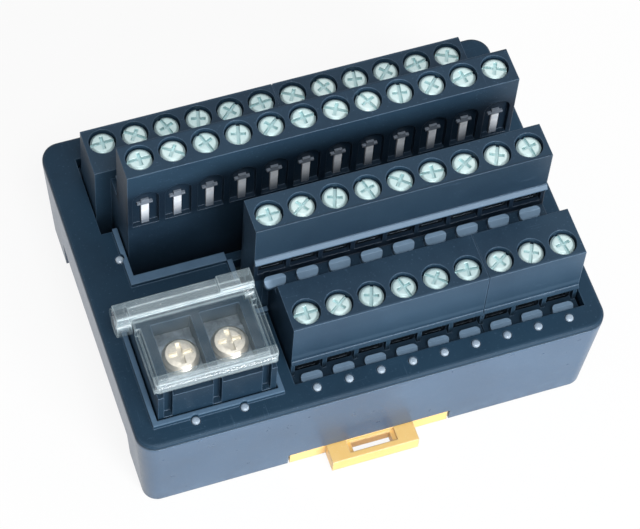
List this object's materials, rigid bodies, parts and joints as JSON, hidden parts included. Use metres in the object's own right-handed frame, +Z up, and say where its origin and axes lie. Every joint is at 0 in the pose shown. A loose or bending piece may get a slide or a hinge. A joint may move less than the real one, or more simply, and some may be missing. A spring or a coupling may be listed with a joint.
{
  "type": "barrier terminal strip",
  "caption": "DIN-rail terminal unit with double-deck screw terminal blocks back to back on a shallow case, a barrier power terminal under a clear hinged cover and a sliding rail clip.",
  "frame": {"origin": "middle of the face that seats on the 35 mm rail", "axes": "+X along the terminal rows, to the right seen from the power terminal's side; +Y to the back, away from the power terminal; +Z up, away from the rail"},
  "size_m": [0.0746, 0.0581, 0.0433],
  "materials": {
    "case": "satin moulded plastic",
    "plate": "satin moulded plastic",
    "board": "solder-masked glass laminate",
    "block": "satin moulded polyamide",
    "power_block": "satin moulded plastic",
    "tinned": "tin plated",
    "steel": "zinc plated",
    "clear_cover": "clear polycarbonate",
    "clip": "smooth moulded acetal",
    "light_pipe": "clear acrylic",
    "lamp": "lamp body"
  },
  "bodies": {
    "housing": {"lower_case": "case", "upper_case": "plate", "circuit_board": "board", "board_screws": "steel", "rear_terminal_block": "block", "rear_lower_screws": "tinned", "rear_upper_screws": "tinned", "rear_lower_clamps": "tinned", "rear_upper_clamps": "tinned", "rear_lower_contacts": "tinned", "rear_upper_contacts": "tinned", "front_terminal_block": "block", "front_upper_screws": "tinned", "front_lower_screws": "tinned", "front_upper_clamps": "tinned", "front_lower_clamps": "tinned", "front_upper_contacts": "tinned", "front_lower_contacts": "tinned", "power_terminal_block": "power_block", "power_terminal_plates": "tinned", "power_nuts": "steel", "power_washers": "tinned", "power_screws": "steel", "front_light_pipes": "light_pipe", "rear_light_pipes": "light_pipe", "power_light_pipes": "light_pipe", "power_lamp_pipe": "light_pipe", "indicator_leds": "lamp"},
    "cover": {"power_cover": "clear_cover"},
    "clip": {"din_clip": "clip"}
  },
  "joints": [
    {"name": "cover_hinge", "type": "hinge", "parent": "housing", "child": "cover", "pos_m": [-0.0242, -0.00965, 0.0213], "axis": [-1, 0, 0], "range_deg": [0, 105]},
    {"name": "clip_slide", "type": "slide", "parent": "housing", "child": "clip", "axis": [0, -1, 0], "range_m": [0, 0.0035]}
  ]
}
